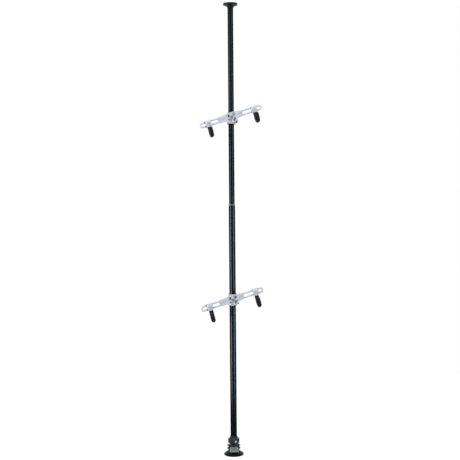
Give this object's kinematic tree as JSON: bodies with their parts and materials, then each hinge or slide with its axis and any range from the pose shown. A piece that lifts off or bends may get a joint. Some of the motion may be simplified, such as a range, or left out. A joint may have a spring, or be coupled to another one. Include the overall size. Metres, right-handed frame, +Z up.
{
  "type": "two tier bike rack",
  "caption": "Floor-to-ceiling tension pole with telescoping tubes, a foot-pedal lock and tilting arms whose sliding rubber cradles hold bicycles.",
  "frame": {"origin": "on the floor at the pole's axis, in the middle of the rubber foot's underside", "axes": "+Z up along the pole, -Y towards the cradles and the camera, +X to the right along the arms"},
  "size_m": [0.3831, 0.2311, 2.8],
  "materials": {
    "rubber_black": "matt moulded rubber",
    "tube_black": "gloss black powder coat",
    "plastic_black": "fine-grained black moulding",
    "plastic_grey": "light grey moulding",
    "steel_bright": "zinc-plated steel",
    "silver_paint": "satin silver paint on an aluminium casting",
    "silver_rod": "satin silver paint on steel rod",
    "black_steel": "black-oxide steel",
    "pedal_grey": "grey sand-cast finish",
    "tread_grey": "grained grey grip"
  },
  "bodies": {
    "base": {"floor_pad": "rubber_black", "base_housing": "black_steel", "base_flange": "steel_bright", "flange_screws": "black_steel", "guide_bush": "plastic_black", "pivot_pin": "steel_bright", "pivot_knobs": "plastic_black"},
    "pedal": {"foot_pedal": "pedal_grey", "pedal_tread": "tread_grey"},
    "stem": {"lift_stem": "steel_bright"},
    "pole_lower": {"tube_foot": "plastic_black", "lower_tube": "tube_black", "tube_bushing": "plastic_grey", "height_lock_boss": "black_steel"},
    "collar": {"adjuster_collar": "plastic_black", "collar_screw": "steel_bright"},
    "pole_upper": {"upper_tube": "tube_black", "inner_guide": "plastic_black", "ceiling_foot": "plastic_black", "ceiling_screw": "steel_bright", "ceiling_pad": "rubber_black"},
    "lock_knob": {"height_lock_knob": "plastic_black"},
    "lower_slider": {"lower_sleeve": "plastic_black"},
    "lower_clamp": {"lower_clamp_body": "silver_paint", "lower_clamp_bolt": "steel_bright", "lower_tilt_bolt": "black_steel"},
    "lower_lever": {"lower_clamp_lever": "black_steel"},
    "lower_arms": {"lower_arm_frame": "silver_paint", "lower_left_rods": "silver_rod", "lower_right_rods": "silver_rod"},
    "lower_left_carriage": {"lower_left_bracket_front": "silver_paint", "lower_left_bracket_back": "silver_paint", "lower_left_bracket_bolt": "black_steel"},
    "lower_left_cradle": {"lower_left_hook": "silver_rod", "lower_left_hook_rubber": "rubber_black"},
    "lower_right_carriage": {"lower_right_bracket_front": "silver_paint", "lower_right_bracket_back": "silver_paint", "lower_right_bracket_bolt": "black_steel"},
    "lower_right_cradle": {"lower_right_hook": "silver_rod", "lower_right_hook_rubber": "rubber_black"},
    "upper_slider": {"upper_sleeve": "plastic_black"},
    "upper_clamp": {"upper_clamp_body": "silver_paint", "upper_clamp_bolt": "steel_bright", "upper_tilt_bolt": "black_steel"},
    "upper_lever": {"upper_clamp_lever": "black_steel"},
    "upper_arms": {"upper_arm_frame": "silver_paint", "upper_left_rods": "silver_rod", "upper_right_rods": "silver_rod"},
    "upper_left_carriage": {"upper_left_bracket_front": "silver_paint", "upper_left_bracket_back": "silver_paint", "upper_left_bracket_bolt": "black_steel"},
    "upper_left_cradle": {"upper_left_hook": "silver_rod", "upper_left_hook_rubber": "rubber_black"},
    "upper_right_carriage": {"upper_right_bracket_front": "silver_paint", "upper_right_bracket_back": "silver_paint", "upper_right_bracket_bolt": "black_steel"},
    "upper_right_cradle": {"upper_right_hook": "silver_rod", "upper_right_hook_rubber": "rubber_black"}
  },
  "joints": [
    {"name": "pedal_hinge", "type": "hinge", "parent": "base", "child": "pedal", "pos_m": [0, 0, 0.04], "axis": [-1, 0, 0], "range_deg": [0, 25]},
    {"name": "stem_slide", "type": "slide", "parent": "base", "child": "stem", "axis": [0, 0, 1], "range_m": [-0.003, 0]},
    {"name": "pole_lift", "type": "slide", "parent": "stem", "child": "pole_lower", "axis": [0, 0, 1], "range_m": [0, 0.025]},
    {"name": "collar_turn", "type": "hinge", "parent": "pole_lower", "child": "collar", "pos_m": [0, 0, 0.085], "axis": [0, 0, 1], "range_deg": [0, 3000]},
    {"name": "pole_extension", "type": "slide", "parent": "pole_lower", "child": "pole_upper", "axis": [0, 0, 1], "range_m": [-0.4, 0.3]},
    {"name": "lock_knob_turn", "type": "hinge", "parent": "pole_lower", "child": "lock_knob", "pos_m": [0, 0.038, 1.5246], "axis": [0, 1, 0], "range_deg": [0, 720]},
    {"name": "lower_height", "type": "slide", "parent": "pole_lower", "child": "lower_slider", "axis": [0, 0, 1], "range_m": [-0.55, 0.2]},
    {"name": "lower_swivel", "type": "hinge", "parent": "lower_slider", "child": "lower_clamp", "pos_m": [0, 0, 0.972], "axis": [0, 0, 1], "continuous": true},
    {"name": "lower_lever_hinge", "type": "hinge", "parent": "lower_clamp", "child": "lower_lever", "pos_m": [0.032, -0.0173, 0.96], "axis": [-1, 0, 0], "range_deg": [0, 100]},
    {"name": "lower_tilt", "type": "hinge", "parent": "lower_clamp", "child": "lower_arms", "pos_m": [0, -0.073, 0.966], "axis": [0, -1, 0], "range_deg": [-47.5, 12.5]},
    {"name": "lower_left_slide", "type": "slide", "parent": "lower_arms", "child": "lower_left_carriage", "axis": [0.9537, 0, 0.3007], "range_m": [-0.021, 0.04]},
    {"name": "lower_left_hook_swing", "type": "hinge", "parent": "lower_left_carriage", "child": "lower_left_cradle", "pos_m": [-0.14295, -0.0926, 0.92722], "axis": [0, -1, 0], "range_deg": [-25, 25]},
    {"name": "lower_right_slide", "type": "slide", "parent": "lower_arms", "child": "lower_right_carriage", "axis": [0.9537, 0, 0.3007], "range_m": [-0.055, 0.014]},
    {"name": "lower_right_hook_swing", "type": "hinge", "parent": "lower_right_carriage", "child": "lower_right_cradle", "pos_m": [0.13648, -0.0926, 1.01533], "axis": [0, -1, 0], "range_deg": [-25, 25]},
    {"name": "upper_height", "type": "slide", "parent": "pole_upper", "child": "upper_slider", "axis": [0, 0, 1], "range_m": [-0.08, 0.5]},
    {"name": "upper_swivel", "type": "hinge", "parent": "upper_slider", "child": "upper_clamp", "pos_m": [0, 0, 2.093], "axis": [0, 0, 1], "continuous": true},
    {"name": "upper_lever_hinge", "type": "hinge", "parent": "upper_clamp", "child": "upper_lever", "pos_m": [0.032, -0.0173, 2.081], "axis": [-1, 0, 0], "range_deg": [0, 100]},
    {"name": "upper_tilt", "type": "hinge", "parent": "upper_clamp", "child": "upper_arms", "pos_m": [0, -0.073, 2.087], "axis": [0, -1, 0], "range_deg": [-47.5, 12.5]},
    {"name": "upper_left_slide", "type": "slide", "parent": "upper_arms", "child": "upper_left_carriage", "axis": [0.9537, 0, 0.3007], "range_m": [-0.021, 0.04]},
    {"name": "upper_left_hook_swing", "type": "hinge", "parent": "upper_left_carriage", "child": "upper_left_cradle", "pos_m": [-0.14295, -0.0926, 2.04822], "axis": [0, -1, 0], "range_deg": [-25, 25]},
    {"name": "upper_right_slide", "type": "slide", "parent": "upper_arms", "child": "upper_right_carriage", "axis": [0.9537, 0, 0.3007], "range_m": [-0.055, 0.014]},
    {"name": "upper_right_hook_swing", "type": "hinge", "parent": "upper_right_carriage", "child": "upper_right_cradle", "pos_m": [0.13648, -0.0926, 2.13632], "axis": [0, -1, 0], "range_deg": [-25, 25]}
  ],
  "couplings": [
    {"joint": "stem_slide", "follows": "pedal_hinge", "m_per_rad": -0.0068748},
    {"joint": "pole_lift", "follows": "collar_turn", "m_per_rad": 0.00047742}
  ]
}
